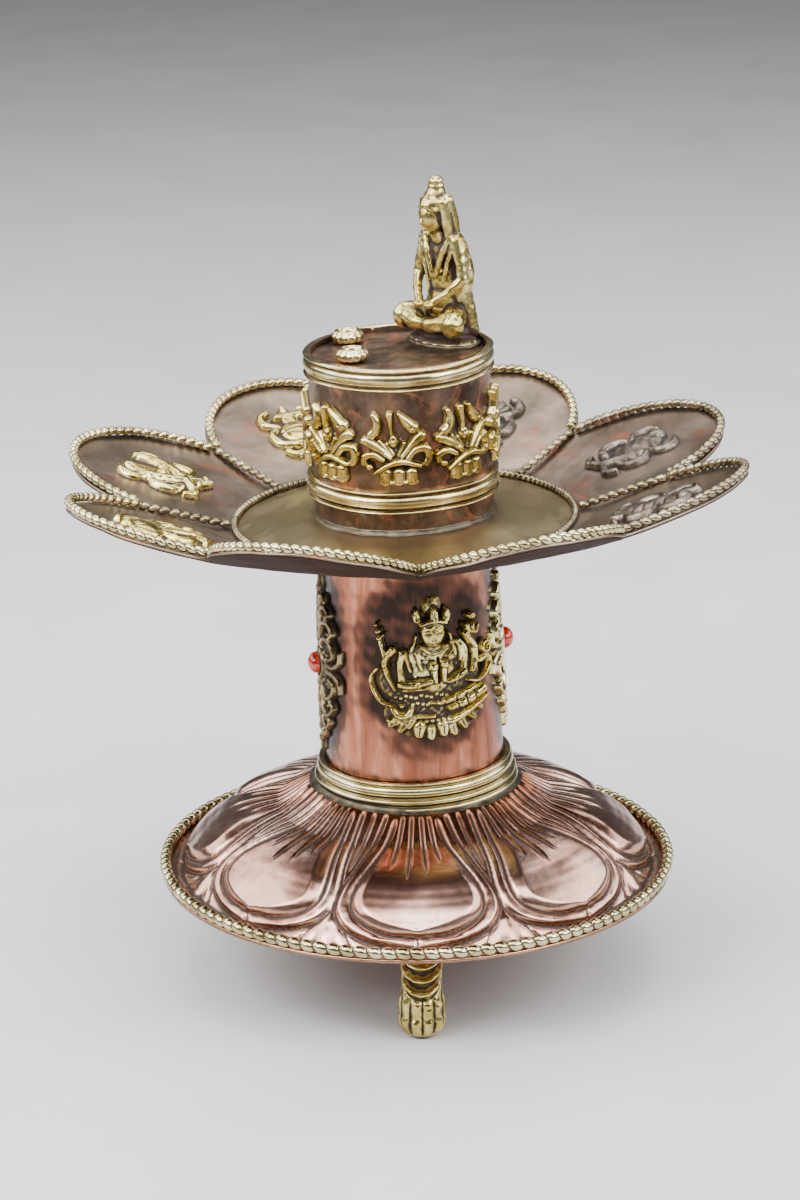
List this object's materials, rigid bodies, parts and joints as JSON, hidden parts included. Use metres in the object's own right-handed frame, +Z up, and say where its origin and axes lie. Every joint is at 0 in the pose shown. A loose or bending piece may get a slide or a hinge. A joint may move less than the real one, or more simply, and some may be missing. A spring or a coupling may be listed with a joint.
{
  "type": "incense stand",
  "caption": "Lotus-shaped incense stand: domed base on paw feet, column with cast plaques, petalled dish, drum with incense cups and a seated figure.",
  "frame": {"origin": "on the floor under the centre of the round base", "axes": "+Z up along the base's axis, -Y towards the front foot and the front deity plaque, +X to the right; the column leans 1.5 degrees towards -X"},
  "size_m": [0.1572, 0.1565, 0.1901],
  "materials": {
    "base_copper": "polished copper, hand-raised, pinkish highlights",
    "column_copper": "satin copper with dark heat stains round the soldered plaques",
    "dish_copper": "tan-grey patinated copper",
    "drum_copper": "dark brown oxidised copper with orange bare spots",
    "cast_brass": "pale yellow cast brass with dark recesses",
    "brass_band": "drawn brass strip, slightly tarnished",
    "beaded_wire": "beaded brass wire, bright tops",
    "solder": "dull grey soft solder",
    "coral": "polished red-orange coral"
  },
  "bodies": {
    "root": {"base_dome": "base_copper", "base_rim_wire": "beaded_wire", "dish_ring_wire": "beaded_wire", "divider_wires": "beaded_wire", "petal_wire_1": "beaded_wire", "petal_wire_2": "beaded_wire", "petal_wire_3": "beaded_wire", "petal_wire_4": "beaded_wire", "petal_wire_5": "beaded_wire", "petal_wire_6": "beaded_wire", "petal_wire_7": "beaded_wire", "petal_wire_8": "beaded_wire", "front_foot": "cast_brass", "right_rear_foot": "cast_brass", "left_rear_foot": "cast_brass", "front_deity_plaque": "cast_brass", "rear_deity_plaque": "cast_brass", "left_cartouche": "cast_brass", "right_cartouche": "cast_brass", "seated_figure": "cast_brass", "front_incense_cup": "cast_brass", "rear_incense_cup": "cast_brass", "drum_palmette_1": "cast_brass", "drum_palmette_2": "cast_brass", "drum_palmette_3": "cast_brass", "drum_palmette_4": "cast_brass", "drum_palmette_5": "cast_brass", "drum_palmette_6": "cast_brass", "drum_palmette_7": "cast_brass", "drum_palmette_8": "cast_brass", "conch_emblem": "cast_brass", "lotus_emblem": "cast_brass", "treasure_vase_emblem": "cast_brass", "golden_fish_emblem": "cast_brass", "parasol_emblem": "cast_brass", "wheel_emblem": "cast_brass", "endless_knot_emblem": "cast_brass", "banner_emblem": "cast_brass", "column_tube": "column_copper", "column_collar": "brass_band", "drum_lower_band": "brass_band", "drum_upper_band": "brass_band", "column_head_solder": "solder", "drum_foot_solder": "solder", "dish": "dish_copper", "drum_wall": "drum_copper", "drum_lid": "drum_copper", "left_coral": "coral", "right_coral": "coral"}
  },
  "joints": []
}
